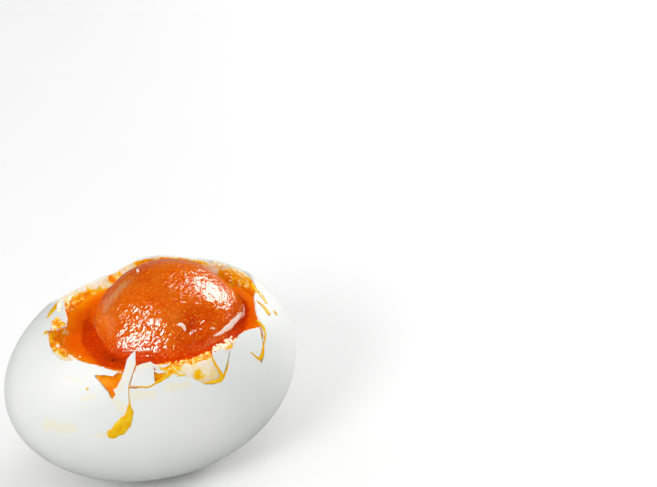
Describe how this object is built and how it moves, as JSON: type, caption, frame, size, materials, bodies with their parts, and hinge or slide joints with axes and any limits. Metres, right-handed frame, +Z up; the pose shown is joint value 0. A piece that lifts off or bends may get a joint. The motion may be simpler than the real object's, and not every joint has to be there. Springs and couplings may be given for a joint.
{
  "type": "salted duck egg",
  "caption": "Cooked duck egg lying on its side, shell broken open on top to show a domed orange yolk in a moat of yolk oil, with loose shell flakes.",
  "frame": {"origin": "on the table, under the middle of the egg's bounding box", "axes": "+X along the egg towards its blunt end, -Y the front with the notch and the loose flakes, +Z up out of the opening"},
  "size_m": [0.0588, 0.0434, 0.0429],
  "materials": {
    "eggshell": "satin calcium shell",
    "cooked_white": "moist set egg white",
    "cured_yolk": "oily, finely granular",
    "yolk_oil": "wet orange oil"
  },
  "bodies": {
    "root": {"shell": "eggshell", "flake_front": "eggshell", "flake_spike": "eggshell", "flake_wedge": "eggshell", "egg_white": "cooked_white", "yolk": "cured_yolk", "oil": "yolk_oil"}
  },
  "joints": []
}
